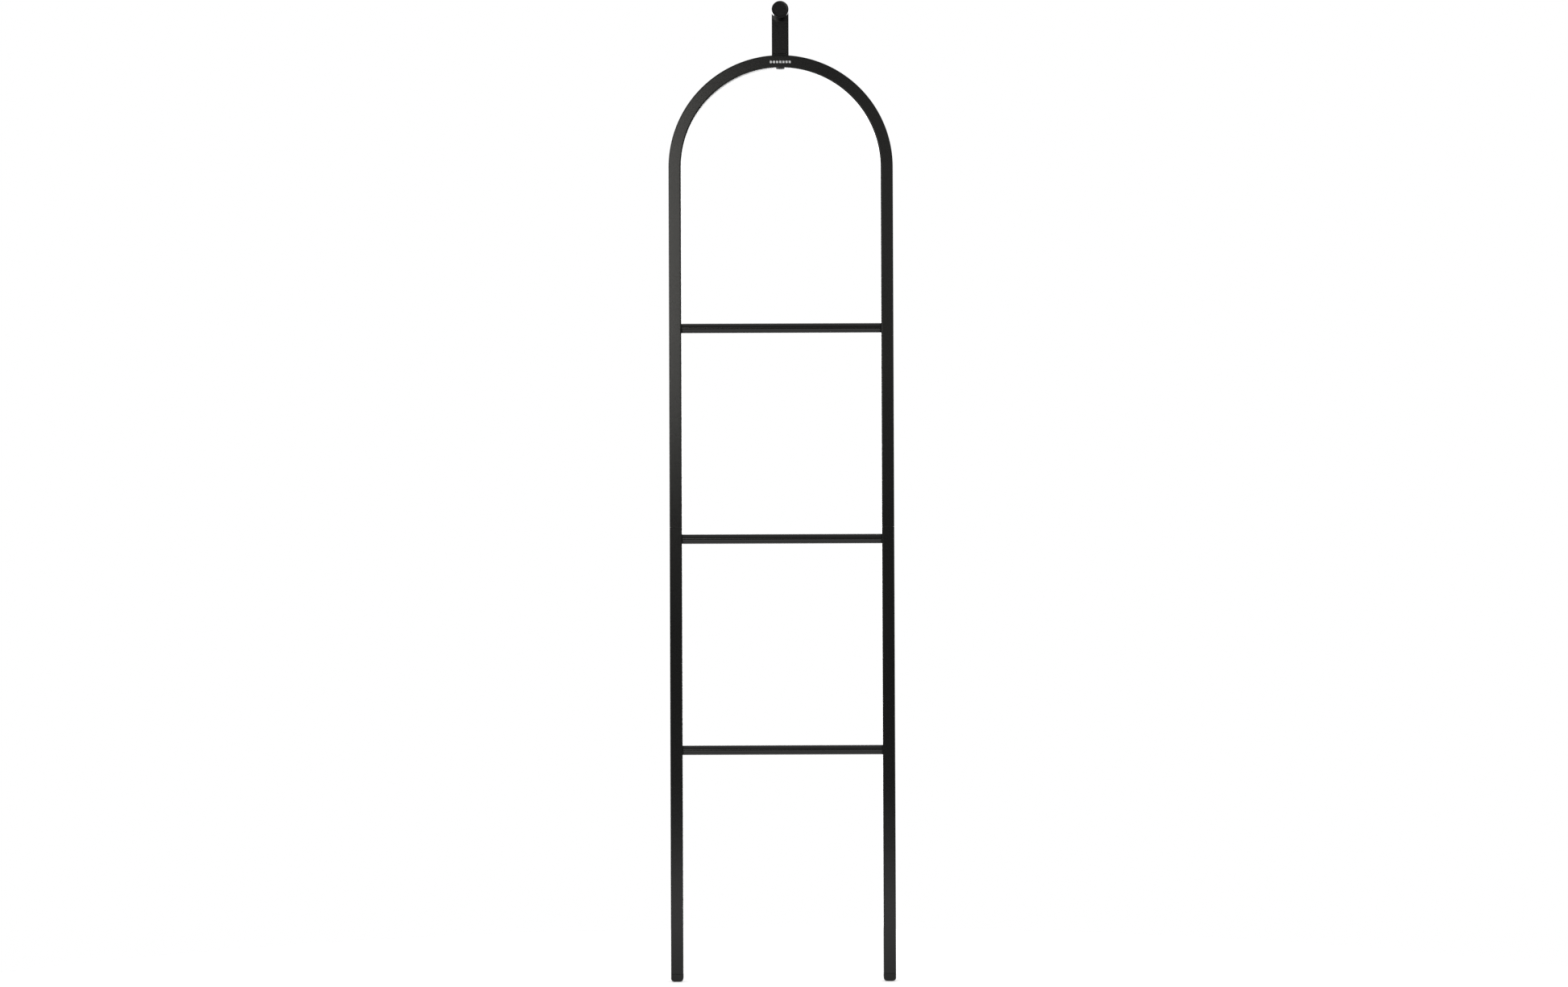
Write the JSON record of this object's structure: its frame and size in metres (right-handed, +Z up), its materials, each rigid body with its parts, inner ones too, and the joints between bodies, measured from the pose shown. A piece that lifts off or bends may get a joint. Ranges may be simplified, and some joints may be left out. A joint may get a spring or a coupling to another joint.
{
  "type": "towel ladder rack",
  "caption": "Leaning towel ladder in black powder-coated square tube: a round top, round rungs, and a short post with a round coat peg and a wall buffer at the crown.",
  "frame": {"origin": "on the floor, midway between the two feet, in the middle plane of the frame", "axes": "+Z up along the legs, +X across the rungs to the viewer's right, -Y the front where the peg points, +Y the wall side"},
  "size_m": [0.4, 0.072, 1.743],
  "materials": {
    "frame_coat": "satin black powder coat with a very fine texture",
    "post_coat": "cast aluminium under the same satin black powder coat",
    "black_steel": "blackened steel, semi-gloss: the fasteners and the joint spigots",
    "zinc_steel": "zinc-plated steel, satin",
    "insert_brass": "turned brass, knurled",
    "black_plastic": "moulded nylon, matte black",
    "black_rubber": "matte black non-slip rubber"
  },
  "bodies": {
    "root": {"upper_hoop": "frame_coat", "left_lower_rail": "frame_coat", "right_lower_rail": "frame_coat", "top_rung": "frame_coat", "middle_rung": "frame_coat", "bottom_rung": "frame_coat", "left_joint_spigot": "black_steel", "right_joint_spigot": "black_steel", "left_spigot_rivet": "black_steel", "right_spigot_rivet": "black_steel", "left_joint_screw": "black_steel", "right_joint_screw": "black_steel", "left_joint_nut": "zinc_steel", "right_joint_nut": "zinc_steel", "left_foot_plug": "black_rubber", "right_foot_plug": "black_rubber", "hook_post": "post_coat", "post_saddle": "black_plastic", "post_insert": "insert_brass", "post_bolt": "black_steel", "hook_peg": "post_coat", "wall_spacer": "black_plastic", "hook_screw": "zinc_steel", "wall_pad": "black_rubber"}
  },
  "joints": []
}
